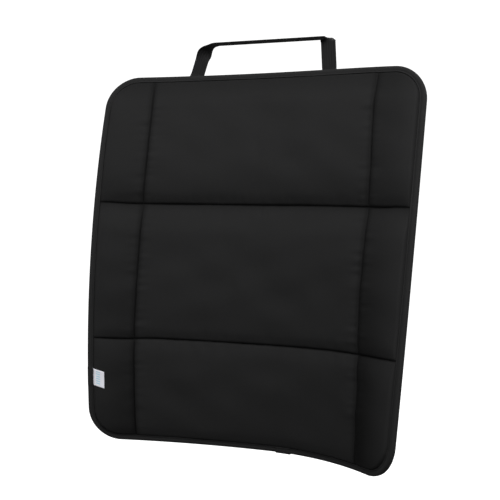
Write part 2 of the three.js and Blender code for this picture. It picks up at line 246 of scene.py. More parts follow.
def puckers(s, t):
    total, seam = 0, 0
    for at, along, places in ((s, t, uprightSeams), (t, s, (lowerSeam, upperSeam))):
        for place in places:
            for side in (-1, 1):
                seam += 1
                away = np.maximum(0, (at - place) * side)
                drawn = (1 - np.exp(-away / seamPuckers["start"])) * np.exp(
                    -(away / seamPuckers["reach"]) ** 2) * (away > 0)
                total = total + drawn * uneven(along, seamPuckers, seam)
    return seamPuckers["height"] * total


def coverFront(s, t):
    filled = puff(s, t)
    return stackHalf + layers["frontLoft"] * filled + (lumps(s, t) + puckers(s, t)) * filled


def paddingBack(s, t):
    return liningBack(s, t) + layers["lining"] + seatGap


def clearOfTape(lean):  # distance from the tape at which the whole width of a leg is clear of it
    return webbing["width"] / 2 * math.sin(lean) + tape["clearance"]


def tailPlace(side, lean, distance):  # middle of the webbing behind the mat, below the top edge
    s = webbing["offset"] + side * (webbing["spacing"] / 2 + math.tan(lean) * distance)
    t = matHeight - distance
    onTape = tape["width"] + clearOfTape(lean)
    offTape = onTape + 2 * webbing["thickness"]
    drop = smoothStep(distance, onTape, offTape)
    under = tapeOutside * (1 - drop) - liningBack(s, t) * drop
    return s, t, -under - seatGap - webbing["thickness"] / 2


leftFoot = unplaced(*tailPlace(-1, webbing["leftLean"], -clearOfTape(webbing["leftLean"])))
rightFoot = unplaced(*tailPlace(1, webbing["rightLean"], -clearOfTape(webbing["rightLean"])))
loopTop = sheetPoint(0.0, matHeight)[2] + webbing["rise"]
loopMiddle = np.array([0, (leftFoot[1] + rightFoot[1]) / 2, loopTop])
hangingPoint = loopMiddle - np.array([0, 0, webbing["thickness"] / 2])


def bend(s, t, depth):
    return unplaced(s, t, depth) - hangingPoint


# Camera: fitted to the outline and the seams of the photograph
viewpoint = {
    "place": (0.46289, -1.10393, 0.32390),  # from the middle of the flat sheet's foot
    "azimuth": math.radians(23), "elevation": math.radians(-2.933), "roll": math.radians(0.811),
    "sensor": 36.0, "lens": 66.105, "nearest": 0.05, "farthest": 40.0,
}


def makeCamera():
    azimuth, elevation, tilt = (viewpoint[key] for key in ("azimuth", "elevation", "roll"))
    forward = np.array([-math.sin(azimuth) * math.cos(elevation),
                        math.cos(azimuth) * math.cos(elevation), math.sin(elevation)])
    level = np.array([math.cos(azimuth), math.sin(azimuth), 0])
    upright = np.cross(level, forward)
    right = level * math.cos(tilt) + upright * math.sin(tilt)
    up = np.cross(right, forward)
    camera = bpy.data.objects.new("photoCamera", bpy.data.cameras.new("photoCamera"))
    camera.data.sensor_width = viewpoint["sensor"]
    camera.data.lens = viewpoint["lens"]
    camera.data.clip_start, camera.data.clip_end = viewpoint["nearest"], viewpoint["farthest"]
    turn = Matrix(np.column_stack([right, up, -forward]).tolist()).to_4x4()
    place = np.array(viewpoint["place"]) - hangingPoint
    camera.matrix_world = Matrix.Translation(place.tolist()) @ turn
    scene.collection.objects.link(camera)
    scene.camera = camera


makeCamera()
print("camera placed")


# Node helpers
def newGroup(name, inputs, outputs):  # a vector input, then numbers with their usual values
    group = bpy.data.node_groups.new(name, "ShaderNodeTree")
    group.interface.new_socket("Vector", in_out="INPUT", socket_type="NodeSocketVector")
    for title, value in inputs.items():
        socket = group.interface.new_socket(title, in_out="INPUT", socket_type="NodeSocketFloat")
        socket.default_value = value
    for title in outputs:
        group.interface.new_socket(title, in_out="OUTPUT", socket_type="NodeSocketFloat")
    return group, group.nodes.new("NodeGroupInput"), group.nodes.new("NodeGroupOutput")


def feed(tree, node, inputs):  # each input takes a value, a socket or a node's first output
    for key, value in inputs.items():
        if isinstance(value, bpy.types.Node):
            value = value.outputs[0]
        if isinstance(value, bpy.types.NodeSocket):
            tree.links.new(value, node.inputs[key])
        else:
            node.inputs[key].default_value = value
    return node


def addNode(tree, kind, inputs, **properties):
    node = tree.nodes.new(kind)
    for key, value in properties.items():
        setattr(node, key, value)
    return feed(tree, node, inputs)


def calculate(tree, operation, first, second=0.0, third=0.0):
    values = {0: first, 1: second, 2: third}
    return addNode(tree, "ShaderNodeMath", values, operation=operation).outputs[0]


def multiply(tree, first, *others):
    for other in others:
        first = calculate(tree, "MULTIPLY", first, other)
    return first


def makeWeave():  # relief of a plain weave, on a vector in metres, and a painted shade that makes the colour lighter on raised threads and darker in the dips and between the wales
    numbers = {"Threads": 1500.0, "Rib": 0.0, "Slub": 0.3, "Wales": 300.0, "Wale Depth": 0.0}
    tree, given, result = newGroup("plainWeave", numbers, ["Height", "Shade"])
    place = addNode(tree, "ShaderNodeSeparateXYZ", {0: given.outputs["Vector"]})
    threads = multiply(tree, given.outputs["Threads"], math.pi)
    over, along = (calculate(tree, "SINE", multiply(tree, place.outputs[axis], threads))
                   for axis in (0, 1))
    crossing = multiply(tree, over, along)
    ribs = calculate(tree, "ABSOLUTE", along)
    mixed = addNode(tree, "ShaderNodeMix", {0: given.outputs["Rib"], 2: crossing, 3: ribs})
    fuzz = addNode(tree, "ShaderNodeTexNoise",
                   {"Vector": given.outputs["Vector"], "Scale": 700.0, "Detail": 2.0,
                    "Roughness": 0.6})
    slub = multiply(tree, fuzz, given.outputs["Slub"])
    height = calculate(tree, "MULTIPLY_ADD", mixed, 0.5, slub)
    turns = multiply(tree, place.outputs[0], given.outputs["Wales"], math.pi)
    wales = calculate(tree, "ABSOLUTE", calculate(tree, "SINE", turns))
    waleDepth = given.outputs["Wale Depth"]
    raised = multiply(tree, wales, waleDepth)
    # painted shade: the colour follows the relief and is darker in the weave's dips and in the grooves between the
    # wales
    shade = calculate(tree, "MULTIPLY_ADD", mixed, 0.5, 0.5)
    between = multiply(tree, calculate(tree, "SUBTRACT", 1.0, wales), waleDepth)
    feed(tree, result, {
        "Height": calculate(tree, "MULTIPLY_ADD", raised, 2.0, height),
        "Shade": multiply(tree, shade, calculate(tree, "SUBTRACT", 1.0, between))})
    return tree


def makeMottle():  # broad and fine unevenness of dyed cloth, with a little lint
    tree, given, result = newGroup("clothMottle", {"Broad": 9.0, "Fine": 160.0}, ["Value"])
    broad, fine = (
        addNode(tree, "ShaderNodeTexNoise",
                {"Vector": given.outputs["Vector"], "Scale": given.outputs[title],
                 "Detail": detail})
        for title, detail in (("Broad", 3.0), ("Fine", 4.0)))
    blend = calculate(tree, "MULTIPLY_ADD", fine, 0.45, multiply(tree, broad, 0.55))
    feed(tree, result, {"Value": blend})
    return tree


# Painted shade: how much darker the cloth's colour is made in the hollows along its seams and below its top edge,
# on the flat sheet: reach and depth, where two depths are those at the bottom edge and from fadeTop up
paintedSeamShade = {
    "upright": (0.0085, 0.44), "level": (0.0035, 0.42), "flap": (0.062, 0.93, 0.22),
    "side": (0.058, 0.46, 0.05), "head": (0.014, 0.20), "foot": (0.052, 0.32),
    "top": (0.036, 0.24), "fadeTop": 0.29, "farAway": 10.0,
}


def makePaintedSeamShade():  # 1 on open cloth, less where shade is painted into the colour in the hollows along the seams and below the top edge
    tree, given, result = newGroup("paintedSeamShade", {"Strength": 1.0}, ["Value"])
    place = addNode(tree, "ShaderNodeSeparateXYZ", {0: given.outputs["Vector"]})
    across, up = place.outputs[0], place.outputs[1]

    def fade(value, reach, start, end, way):
        return addNode(tree, "ShaderNodeMapRange",
                       {"Value": value, "From Min": 0.0, "From Max": reach, "To Min": start,
                        "To Max": end}, interpolation_type=way)

    # painted shade: darkens the colour near one seam or edge
    def paintedShadeFactor(name, distance):
        reach, depth, *high = paintedSeamShade[name]
        if high:
            depth = fade(up, paintedSeamShade["fadeTop"], depth, high[0], "LINEAR")
        near = fade(distance, reach, 1.0, 0.0, "SMOOTHSTEP")
        return calculate(tree, "SUBTRACT", 1.0, multiply(tree, near, depth))

    def outFrom(value, seam):
        return calculate(tree, "ABSOLUTE", calculate(tree, "SUBTRACT", value, seam))

    def beyond(value, seam):  # distance past a seam, or far away on its other side
        past = calculate(tree, "SUBTRACT", value, seam)
        return calculate(tree, "MULTIPLY_ADD", calculate(tree, "LESS_THAN", past, 0.0),
                         paintedSeamShade["farAway"], past)

    leftwards, downwards = (multiply(tree, value, -1.0) for value in (across, up))
    paintedShades = [
        paintedShadeFactor("upright", outFrom(calculate(tree, "ABSOLUTE", across), uprightSeam)),
        paintedShadeFactor("level", outFrom(up, lowerSeam)), paintedShadeFactor("level", outFrom(up, upperSeam)),
        paintedShadeFactor("flap", beyond(across, uprightSeam)), paintedShadeFactor("side", beyond(leftwards, uprightSeam)),
        paintedShadeFactor("head", beyond(downwards, -upperSeam)), paintedShadeFactor("foot", beyond(up, upperSeam)),
        paintedShadeFactor("top", outFrom(up, matHeight - puffStart)),
    ]
    lessened = multiply(tree, calculate(tree, "SUBTRACT", multiply(tree, *paintedShades), 1.0),
                        given.outputs["Strength"])
    feed(tree, result, {"Value": calculate(tree, "ADD", lessened, 1.0)})
    return tree


weaveGroup = makeWeave()
mottleGroup = makeMottle()
paintedSeamShadeGroup = makePaintedSeamShade()


def newMaterial(name):
    material = bpy.data.materials.new(name)
    material.use_nodes = True
    return material, material.node_tree, material.node_tree.nodes["Principled BSDF"]


def addGroup(tree, group, inputs):
    return addNode(tree, "ShaderNodeGroup", inputs, node_tree=group)


def addBump(tree, weave, look):
    return addNode(tree, "ShaderNodeBump",
                   {"Height": weave.outputs["Height"], "Strength": look["bump"],
                    "Distance": look["relief"]})


def twoColours(tree, share, first, second):
    inputs = {0: share, 6: (*first, 1), 7: (*second, 1)}
    return addNode(tree, "ShaderNodeMix", inputs, data_type="RGBA").outputs[2]


def clothMaterial(name, look):
    material, tree, shader = newMaterial(name)
    flat = addNode(tree, "ShaderNodeUVMap", {}, uv_map="flat")
    place = addNode(tree, "ShaderNodeTexCoord", {})
    weave = addGroup(tree, weaveGroup,
                     {"Vector": flat, "Threads": look["threads"], "Rib": look["rib"],
                      "Slub": look["slub"], "Wale Depth": look["waleDepth"]})
    mottle = addGroup(tree, mottleGroup, {"Vector": place.outputs["Object"]})
    # colour: the weave's painted shade mixed with the mottle's random tone
    shade = calculate(tree, "MULTIPLY_ADD", weave.outputs["Shade"], look["paintedWeaveShade"],
                      multiply(tree, mottle, 1 - look["paintedWeaveShade"]))
    colour = twoColours(tree, shade, look["dark"], look["light"])
    # painted shade: the colour is darkened in the hollows along the seams and below the top edge
    paintedShades = addGroup(tree, paintedSeamShadeGroup, {"Vector": flat, "Strength": look["paintedShades"]})
    shown = addNode(tree, "ShaderNodeVectorMath", {0: colour, "Scale": paintedShades},
                    operation="SCALE")
    rough = addNode(tree, "ShaderNodeMapRange",
                    {"Value": mottle, "To Min": look["rough"] - look["roughSpread"],
                     "To Max": look["rough"] + look["roughSpread"]})
    feed(tree, shader, {
        "Base Color": shown, "Roughness": rough, "Normal": addBump(tree, weave, look),
        "Specular IOR Level": look["specular"], "Sheen Weight": look["sheen"],
        "Sheen Roughness": look["sheenRough"]})
    return material


# Cloth looks; each sets how strongly the painted seam shade darkens its colour
coverLook = {
    "dark": (0.0132, 0.0132, 0.0134), "light": (0.0184, 0.0184, 0.0186), "rough": 0.72,
    "roughSpread": 0.06, "threads": 1700.0, "rib": 0.0, "slub": 0.35, "paintedWeaveShade": 0.35,
    "bump": 0.35, "relief": 0.00025, "specular": 0.078, "sheen": 0.022, "sheenRough": 0.45,
    "paintedShades": 1.0, "waleDepth": 0.0,
}
liningLook = {**coverLook, "threads": 1300.0, "rough": 0.66, "slub": 0.2, "bump": 0.45,
              "paintedShades": 0.4}
tapeLook = {
    **coverLook, "dark": (0.0131, 0.0131, 0.0133), "light": (0.0206, 0.0206, 0.0208),
    "threads": 1100.0, "rib": 0.8, "slub": 0.15, "bump": 0.5, "relief": 0.0003, "sheen": 0.031,
    "paintedShades": 0.0,
}
webbingLook = {
    **coverLook, "dark": (0.0056, 0.0056, 0.0058), "light": (0.0225, 0.0225, 0.0227),
    "threads": 800.0, "rib": 0.25, "slub": 0.25, "bump": 0.7, "relief": 0.0005,
    "paintedWeaveShade": 0.7, "rough": 0.66, "sheen": 0.038, "paintedShades": 0.0, "waleDepth": 0.5,
}
threadLook = {
    **coverLook, "dark": (0.0088, 0.0088, 0.0089), "light": (0.0163, 0.0163, 0.0165),
    "threads": 2600.0, "rib": 0.0, "slub": 0.1, "bump": 0.3, "rough": 0.5, "sheen": 0.0,
    "paintedShades": 0.0,
}
coverMaterial = clothMaterial("coverCloth", coverLook)
liningMaterial = clothMaterial("liningCloth", liningLook)
tapeMaterial = clothMaterial("ribbedTape", tapeLook)
webbingMaterial = clothMaterial("blackWebbing", webbingLook)
threadMaterial = clothMaterial("sewingThread", threadLook)
print("cloth materials made")


def addObject(name, data):
    added = bpy.data.objects.new(name, data)
    scene.collection.objects.link(added)
    return added


def gridFaces(ids):
    corners = ids[:-1, :-1], ids[:-1, 1:], ids[1:, 1:], ids[1:, :-1]
    return np.stack(corners, axis=-1).reshape(-1, 4)


def makePiece(name, points, faces, material, flat):
    mesh = bpy.data.meshes.new(name)
    mesh.from_pydata(points.tolist(), [], faces)
    corners = np.empty(len(mesh.loops), int)
    mesh.loops.foreach_get("vertex_index", corners)
    mesh.uv_layers.new(name="flat").data.foreach_set("uv", np.asarray(flat)[corners].ravel())
    mesh.polygons.foreach_set("use_smooth", [True] * len(mesh.polygons))
    mesh.materials.append(material)
    mesh.update()
    return addObject(name, mesh)


# The cloth of the cover, sewn down and blown up by the foam, on the flat sheet
quiltCloth = {
    "pitch": 0.0034, "scale": 10.0, "frames": 24, "slack": 0.009, "pressure": 0.9,
    "hold": 0.15, "pinBelow": 0.02, "bending": 0.8, "quality": 5, "cap": 0.0014,
    "unevenness": 0.00025, "ease": 5, "seed": 11,
}


def simulateCover():
    low, high = puffStart, halfWidth - puffStart
    columns = evenLines([-high, *uprightSeams, high], quiltCloth["pitch"])
    rows = evenLines([low, lowerSeam, upperSeam, matHeight - low], quiltCloth["pitch"])
    s, t = np.meshgrid(columns, rows)
    random = np.random.default_rng(quiltCloth["seed"])
    start = coverFront(s, t) - stackHalf
    moving = puff(s, t)
    start = start + random.normal(0, quiltCloth["unevenness"], s.shape) * moving
    scale = quiltCloth["scale"]
    points = np.stack([s, t, start], axis=-1).reshape(-1, 3) * scale
    faces = gridFaces(np.arange(s.size).reshape(s.shape))
    mesh = bpy.data.meshes.new("coverTrial")
    mesh.from_pydata(points.tolist(), [], faces.tolist())
    trial = addObject("coverTrial", mesh)
    held = trial.vertex_groups.new(name="held")
    weights = np.where(moving < quiltCloth["pinBelow"], 1.0, quiltCloth["hold"]).ravel()
    for weight in np.unique(weights):
        held.add(np.flatnonzero(weights == weight).tolist(), float(weight), "REPLACE")
    cloth = trial.modifiers.new("Cloth", "CLOTH")
    settings = cloth.settings
    settings.quality = quiltCloth["quality"]
    settings.vertex_group_mass = "held"
    settings.bending_stiffness = quiltCloth["bending"]
    settings.shrink_min = -quiltCloth["slack"]
    settings.use_pressure = True
    settings.uniform_pressure_force = quiltCloth["pressure"]
    settings.effector_weights.gravity = 0
    cloth.collision_settings.use_collision = False
    cloth.point_cache.frame_start, cloth.point_cache.frame_end = 1, quiltCloth["frames"]
    for step in range(1, quiltCloth["frames"] + 1):
        scene.frame_set(step)
    settled = trial.evaluated_get(bpy.context.evaluated_depsgraph_get()).to_mesh()
    after = np.empty(s.size * 3)
    settled.vertices.foreach_get("co", after)
    scene.frame_set(1)
    bpy.data.objects.remove(trial)
    moved = (after.reshape(-1, 3) - points) / scale
    reach = np.linalg.norm(moved, axis=1, keepdims=True)
    moved *= np.minimum(1, quiltCloth["cap"] / np.maximum(reach, 1e-9))
    moved = moved.reshape(*s.shape, 3)
    for _ in range(quiltCloth["ease"]):  # the padding evens out the cloth's small buckles
        for axis in (0, 1):
            spread = np.pad(moved, [(1, 1) if axis == way else (0, 0) for way in range(3)], "edge")
            near = np.moveaxis(spread, axis, 0)
            moved = np.moveaxis((near[:-2] + 2 * near[1:-1] + near[2:]) / 4, 0, axis)
    print(f"cover cloth settled: moved up to {reach.max() * 1000:.2f} mm")
    return columns, rows, moved


def evenLines(marks, pitch):
    lines = [marks[0]]
    for mark in marks[1:]:
        pieces = max(1, math.ceil((mark - lines[-1]) / pitch - 0.01))
        lines.extend(np.linspace(lines[-1], mark, pieces + 1)[1:])
    return np.array(lines)


def settledAt(s, t):  # how the settled cloth has moved at places on the flat sheet
    columns, rows, moved = coverCloth
    column = np.clip(np.searchsorted(columns, s) - 1, 0, len(columns) - 2)
    row = np.clip(np.searchsorted(rows, t) - 1, 0, len(rows) - 2)

    def shareOf(value, lines, at):
        return np.clip((value - lines[at]) / (lines[at + 1] - lines[at]), 0, 1)[:, None]

    shareS, shareT = shareOf(s, columns, column), shareOf(t, rows, row)
    lower = moved[row, column] * (1 - shareS) + moved[row, column + 1] * shareS
    upper = moved[row + 1, column] * (1 - shareS) + moved[row + 1, column + 1] * shareS
    inside = smoothStep(rimDistance(s, t), puffStart, puffStart + 0.002)[:, None]
    return (lower * (1 - shareT) + upper * shareT) * inside


coverCloth = simulateCover()

# The quilted panel and its lining
panelMesh = {
    "pitch": 0.0027, "cornerSteps": 14,
    "besideSeam": (0, 0.0005, 0.0009, 0.0016, 0.0027, 0.0042, 0.006, 0.0082, 0.0108, 0.0138,
                   0.017),
    "insideRim": (0, 0.0002, 0.0006, 0.0013, 0.0024, 0.0039, 0.0058, 0.0082, 0.011, 0.0143, 0.018,
                  0.022, 0.026, 0.03),
}


def panelLayout(pitch, besideSeam, insideRim, cornerSteps):
    def lines(low, high, seams):
        marks = {seam + side * step for seam in seams for side in (-1, 1) for step in besideSeam}
        return evenLines(sorted({low, high, *marks}), pitch)

    columns = lines(-coreRight, coreRight, uprightSeams)
    rows = lines(cornerRadius, coreTop, (lowerSeam, upperSeam))
    coreS, coreT = np.meshgrid(columns, rows)
    ids = np.arange(coreS.size).reshape(coreS.shape)
    stations, angles = [], []
    for number, side in enumerate((ids[0], ids[:, -1], ids[-1, ::-1], ids[::-1, 0])):
        turned = np.arange(1, cornerSteps) / cornerSteps * math.pi / 2
        stations.extend([*side, *[side[-1]] * len(turned)])
        angles.extend((number - 1) * math.pi / 2 + np.array([0.0] * len(side) + turned.tolist()))
    stations, angles = np.array(stations), np.array(angles)
    core = np.column_stack([coreS.ravel(), coreT.ravel()])
    outwards = np.column_stack([np.cos(angles), np.sin(angles)])
    distances = [panelInset, (panelInset + puffStart) / 2,
                 *(puffStart + step for step in insideRim)]
    places, rings = [core], []
    for distance in distances:
        rings.append(sum(len(part) for part in places) + np.arange(len(stations)))
        places.append(core[stations] + outwards * (cornerRadius - distance))
    faces = gridFaces(ids).tolist()
    for outer, inner in zip(rings, [*rings[1:], stations]):
        for a, b, c, d in zip(outer, np.roll(outer, -1), np.roll(inner, -1), inner):
            faces.append([a, b, d] if c == d else [a, b, c, d])
    return np.concatenate(places), faces, rings[0]


def panelBody(name, layout, backPoints, frontPoints, material):
    flat, faces, rim = layout
    count = len(flat)
    allFaces = [*faces, *([corner + count for corner in reversed(face)] for face in faces)]
    for here, after in zip(rim, np.roll(rim, -1)):
        allFaces.append([here + count, after + count, after, here])
    points = np.concatenate([frontPoints, backPoints])
    return makePiece(name, points, allFaces, material, np.concatenate([flat, flat]))


frontLayout = panelLayout(**panelMesh)
frontS, frontT = frontLayout[0].T
movedS, movedT, movedOut = settledAt(frontS, frontT).T
quiltedPad = panelBody(
    "quiltedPad", frontLayout, bend(frontS, frontT, paddingBack(frontS, frontT)),
    bend(frontS + movedS, frontT + movedT, coverFront(frontS, frontT) + movedOut), coverMaterial,
)
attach(quiltedPad, "root")
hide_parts("front_cover", "foam_padding")
print("quilted pad made:", len(quiltedPad.data.polygons), "faces")

liningMesh = {
    "pitch": 0.0045, "cornerSteps": 12, "besideSeam": (0, 0.0005, 0.002, 0.005, 0.010, 0.016),
    "insideRim": (0, 0.0006, 0.0024, 0.006, 0.012, 0.02, 0.028),
}
liningWrinkle = {"share": 0.35}
liningLayout = panelLayout(**liningMesh)
liningS, liningT = liningLayout[0].T
liningMoved = settledAt(-liningS, liningT)[:, 2] * liningWrinkle["share"]
liningDepth = liningBack(liningS, liningT) - np.abs(liningMoved)
backLining = panelBody(
    "backLining", liningLayout, bend(liningS, liningT, liningDepth),
    bend(liningS, liningT, liningDepth + layers["lining"]), liningMaterial,
)
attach(backLining, "root")
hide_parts("back_lining")
print("lining made")


# Edge tape: one folded strip round the rim, lapped over its own start on the bottom edge
def rimFrame(along):
    centres = [(coreRight, cornerRadius), (coreRight, coreTop), (-coreRight, coreTop),
               (-coreRight, cornerRadius)]
    straights = [2 * coreRight, coreTop - cornerRadius] * 2
    middle, angle = np.zeros((len(along), 2)), np.zeros(len(along))
    start = 0.0
    for number, straight in enumerate(straights):
        facing = (number - 1) * math.pi / 2
        onStraight = (along >= start) & (along < start + straight)
        middle[onStraight] = centres[number - 1] + (along[onStraight] - start)[:, None] * [
            -math.sin(facing), math.cos(facing)]
        angle[onStraight] = facing
        start += straight
        onCorner = (along >= start) & (along <= start + cornerRadius * math.pi / 2)
        middle[onCorner] = centres[number]
        angle[onCorner] = facing + (along[onCorner] - start) / cornerRadius
        start += cornerRadius * math.pi / 2
    return middle, np.column_stack([np.cos(angle), np.sin(angle)]), start


def rimPlace(along, distance):  # a place on the flat sheet, this far in from the rim
    middle, outwards, _ = rimFrame(along)
    return (middle + outwards * (cornerRadius - distance)[:, None]).T


rimLength = rimFrame(np.zeros(1))[2]
leftFootAlong = rimLength - cornerRadius * math.pi / 2  # where the left side ends


def alongLeft(t):
    return leftFootAlong - (t - cornerRadius)


labelEnds = alongLeft(label["bottom"] + label["height"]), alongLeft(label["bottom"])
lapEnd = tape["lapEnd"] + coreRight


def rimWaver(along, phase):  # the small wander of a hand-fed tape, closed round the rim
    turn = along / rimLength * 2 * math.pi
    return (0.5 * np.sin(7 * turn + phase) + 0.3 * np.sin(17 * turn + 2.1 * phase)
            + 0.2 * np.sin(41 * turn + 0.7 * phase))


def labelLift(along):
    top, bottom = labelEnds
    rise = smoothStep(along, top - label["ramp"], top)
    fall = smoothStep(along, bottom, bottom + label["ramp"])
    return (rise - fall) * (label["thickness"] + seatGap)


def lapOver(along):  # 1 where the tape lies twice on itself
    start, step = lapEnd - tape["lapLength"], tape["lapStep"]
    return np.clip((along - start) / step, 0, 1) * np.clip((lapEnd - along) / step, 0, 1)


def makeTape():
    marks = [0.0, rimLength]
    lapEnds = lapEnd - tape["lapLength"], lapEnd
    for places, step in ((lapEnds, tape["lapStep"]), (labelEnds, label["ramp"])):
        marks.extend(at + side * step for at in places for side in (-1, 0, 1))
    along = evenLines(sorted(marks), tape["pitch"])[:-1]
    width, groove = tape["width"], tape["groove"]
    # distance from the rim, share of the outer depth, extra depth: from the front edge to the fold
    outer = [
        (width, 1, -0.0002), (width - 0.0003, 1, 0.0001), (width - 0.0011, 1, 0.0001),
        (groove + 0.0008, 1, -0.0001), (groove, 1, -0.0004), (groove - 0.0008, 1, -0.0001),
        (groove - 0.0022, 1, 0.0002), (0.0032, 1, 0.0002), (0.0018, 1, -0.0001),
        (0.0009, 0.93, 0), (0.0003, 0.66, 0), (0.0, 0.22, 0),
    ]
    inner = [(width, tapeInside), (groove, tapeInside), (tape["thickness"], tapeInside)]
    lift, lap = labelLift(along), lapOver(along) * tape["thickness"]
    section = [(distance, (share * tapeOutside + extra + lap * (share > 0.5)) + lift, lap, 1)
               for distance, share, extra in outer]
    section += [(distance, -(share * tapeOutside + extra + lap * (share > 0.5)), lap, -1)
                for distance, share, extra in reversed(outer)]
    section += [(distance, np.full(len(along), -depth), 0, -1) for distance, depth in inner]
    section += [(distance, depth + lift, 0, 1) for distance, depth in reversed(inner)]
    points, flat, path = [], [], 0.0
    for number, (distance, depth, lapDepth, face) in enumerate(section):
        edge = distance >= width - 0.0004
        wander = tape["wander"] * rimWaver(along, 1.3 + face) * (distance / width)
        reach = distance + wander * edge - lapDepth * (distance < 0.001)
        points.append(bend(*rimPlace(along, reach), depth))
        if number:
            path += float(np.linalg.norm(points[-1][0] - points[-2][0]))
        flat.append(np.column_stack([np.full(len(along), path), along]))
    ids = np.arange(len(section) * len(along)).reshape(len(section), len(along))
    ids = np.pad(ids, ((0, 1), (0, 1)), "wrap").T
    return makePiece("edgeTape", np.concatenate(points), gridFaces(ids).tolist(), tapeMaterial,
                     np.concatenate(flat))


edgeTape = makeTape()
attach(edgeTape, "root")
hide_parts("edge_binding")
print("edge tape made")


# Webbing loop: frames along its middle, with its direction and the direction across it
def unit(vector):
    return vector / np.linalg.norm(vector)


def onTail(side, lean, distance):  # a place, the directions along and across, and the front's
    place = tailPlace(side, lean, distance)
    reach = hanging["slopeReach"]
    along = unit(bend(*tailPlace(side, lean, distance - reach))
                 - bend(*tailPlace(side, lean, distance + reach)))
    front = frontNormal(*place[:2])
    return bend(*place), along, unit(np.cross(along, front)), front


def tailFrames(side, lean):
    onTape = tape["width"] + clearOfTape(lean)
    distances = [*np.linspace(webbing["tail"], onTape + 0.003, 8),
                 *np.linspace(onTape + 0.0024, onTape, 6), *np.linspace(0.008, 0.0, 5),
                 -clearOfTape(lean)]
    return [onTail(side, lean, distance)[:3] for distance in distances]


loopSteps = {"leftLeg": 8, "leftTurn": 8, "leftCorner": 20, "top": 50, "rightCorner": 12,
             "rightTurn": 10, "rightLeg": 10}


def loopFrames():
    left, right, top = (place - hangingPoint for place in (leftFoot, rightFoot, loopMiddle))

    def cornerOver(foot, lean):
        return np.array([foot[0] + math.tan(lean) * (top[2] - foot[2]), *top[1:]])

    leftCorner = cornerOver(left, webbing["leftLean"])
    rightCorner = cornerOver(right, -webbing["rightLean"])

    def towards(start, end, run):
        return start + unit(end - start) * run

    def line(start, end):
        return lambda share: (start + (end - start) * share, unit(end - start))

    def curve(start, middle, end):
        return lambda share: (
            start * (1 - share) ** 2 + middle * 2 * share * (1 - share) + end * share ** 2,
            unit((middle - start) * (1 - share) + (end - middle) * share))

    leftBend = [towards(leftCorner, left, webbing["leftCornerRun"]), leftCorner,
                towards(leftCorner, rightCorner, webbing["leftCornerReach"])]
    rightBend = [towards(rightCorner, leftCorner, webbing["rightCornerRun"]), rightCorner,
                 towards(rightCorner, right, webbing["rightCornerRun"])]
    leftTwist = towards(leftCorner, left, webbing["leftCornerRun"] + webbing["leftTwistRun"])
    rightTwist = towards(rightCorner, right, webbing["rightCornerRun"] + webbing["rightTwistRun"])
    stretches = {
        "leftLeg": line(left, leftTwist), "leftTurn": line(leftTwist, leftBend[0]),
        "leftCorner": curve(*leftBend), "top": line(leftBend[2], rightBend[0]),
        "rightCorner": curve(*rightBend), "rightTurn": line(rightBend[2], rightTwist),
        "rightLeg": line(rightTwist, right),
    }
    places, starts, length = [], {}, 0.0
    for name, pointAt in stretches.items():
        for step in range(loopSteps[name]):
            point, along = pointAt(step / loopSteps[name])
            if places:
                length += np.linalg.norm(point - places[-1][0])
            if step == 0:
                starts[name] = length
            places.append((point, along, length))
    outOfLoop = np.array([0.0, 1.0, 0.0])
    twisted = (starts["leftCorner"] * (1 - webbing["twistEnd"])
               + starts["top"] * webbing["twistEnd"])
    frames = []
    for point, along, at in places[1:]:
        angle = math.pi / 2 * (smoothStep(at, starts["leftTurn"], twisted)
                               + smoothStep(at, starts["rightCorner"], starts["rightLeg"]))
        inwards = unit(np.cross(outOfLoop, along))
        frames.append((point, along, unit(inwards * math.cos(angle) + outOfLoop * math.sin(angle))))
    return frames


webbingSection = {"edgeRound": 0.00045, "selvedge": 0.0001, "crown": 0.00005}


def makeWebbing():
    rightTail = [(point, -along, across)
                 for point, along, across in reversed(tailFrames(1, webbing["rightLean"]))]
    frames = [*tailFrames(-1, webbing["leftLean"]), *loopFrames(), *rightTail]
    half, thick = webbing["width"] / 2, webbing["thickness"] / 2
    edge = webbingSection["edgeRound"]
    crown, selvedge = thick + webbingSection["crown"], thick + webbingSection["selvedge"]
    face = [(-half + edge, selvedge), (-half + 3 * edge, thick), (-half / 2, crown), (0, crown),
            (half / 2, crown), (half - 3 * edge, thick), (half - edge, selvedge),
            (half - edge / 4, thick * 0.6), (half, 0)]
    section = [*face, *((-wide, -through) for wide, through in face)]
    points, flat, length = [], [], 0.0
    for number, (point, along, across) in enumerate(frames):
        if number:
            length += float(np.linalg.norm(point - frames[number - 1][0]))
        through = unit(np.cross(along, across))
        for wide, deep in section:
            points.append(point + across * wide + through * deep)
            flat.append((wide, length))
    ids = np.arange(len(points)).reshape(len(frames), len(section))
    faces = gridFaces(np.pad(ids, ((0, 0), (0, 1)), "wrap").T).tolist()
    faces.extend([ids[0].tolist(), ids[-1, ::-1].tolist()])
    print(f"webbing {length * 1000:.0f} mm long")
    return makePiece("headrestLoop", np.array(points), faces, webbingMaterial, flat)


headrestLoop = makeWebbing()
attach(headrestLoop, "root")
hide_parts("headrest_loop")

# Side label: a folded white tab with plain pale bars
labelBars = {
    "white": (0.86, 0.86, 0.92), "blue": (0.46, 0.72, 0.86), "firstBar": 0.0035,
    "barPitch": 0.0032, "barShare": 0.5, "barPitches": 5.4, "left": 0.0050, "right": 0.0110,
    "threads": 3000.0, "rib": 0.5, "rough": 0.5, "bump": 0.4, "relief": 0.0001,
}


